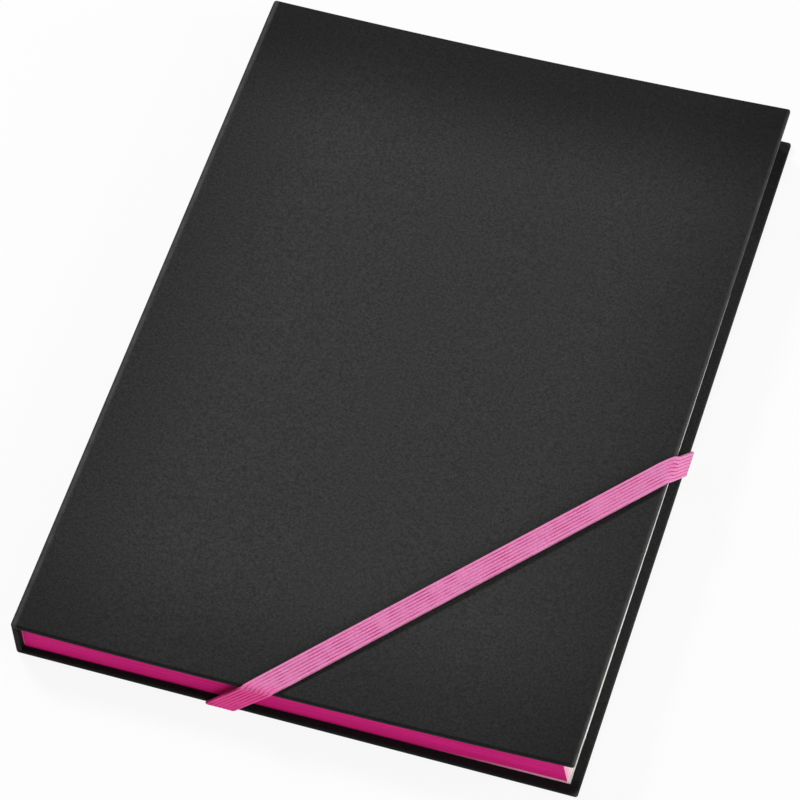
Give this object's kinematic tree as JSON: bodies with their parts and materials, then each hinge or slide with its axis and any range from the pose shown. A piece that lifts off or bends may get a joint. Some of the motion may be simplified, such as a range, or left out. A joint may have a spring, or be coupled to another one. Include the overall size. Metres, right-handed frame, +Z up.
{
  "type": "notebook",
  "caption": "Closed A5 casebound notebook with black covers, a magenta tail edge and a pink elastic band over one corner.",
  "frame": {"origin": "middle of the face that the notebook lies on, the back cover's outer face", "axes": "+X from the spine to the fore edge, +Y from the tail to the head, +Z up from the back cover to the front cover"},
  "size_m": [0.151, 0.213, 0.0177],
  "materials": {
    "covering": "matte, fine fibrous grain",
    "greyboard": "matte",
    "pages": "matte, cut edges, dyed at the tail",
    "endpaper": "matte",
    "elastic": "ribbed woven elastic"
  },
  "bodies": {
    "back_cover_and_pages": {"back_board": "greyboard", "spine_board": "greyboard", "back_wrap": "covering", "back_endpaper": "endpaper", "text_block": "pages", "spine_lining": "endpaper", "front_flyleaf": "endpaper", "elastic_band": "elastic"},
    "front_cover": {"front_board": "greyboard", "front_wrap": "covering", "front_pastedown": "endpaper"}
  },
  "joints": [
    {"name": "front_cover_hinge", "type": "hinge", "parent": "back_cover_and_pages", "child": "front_cover", "pos_m": [-0.07325, 0, 0.01398], "axis": [0, -1, 0], "range_deg": [0, 178], "deforming": ["elastic_band"]}
  ]
}
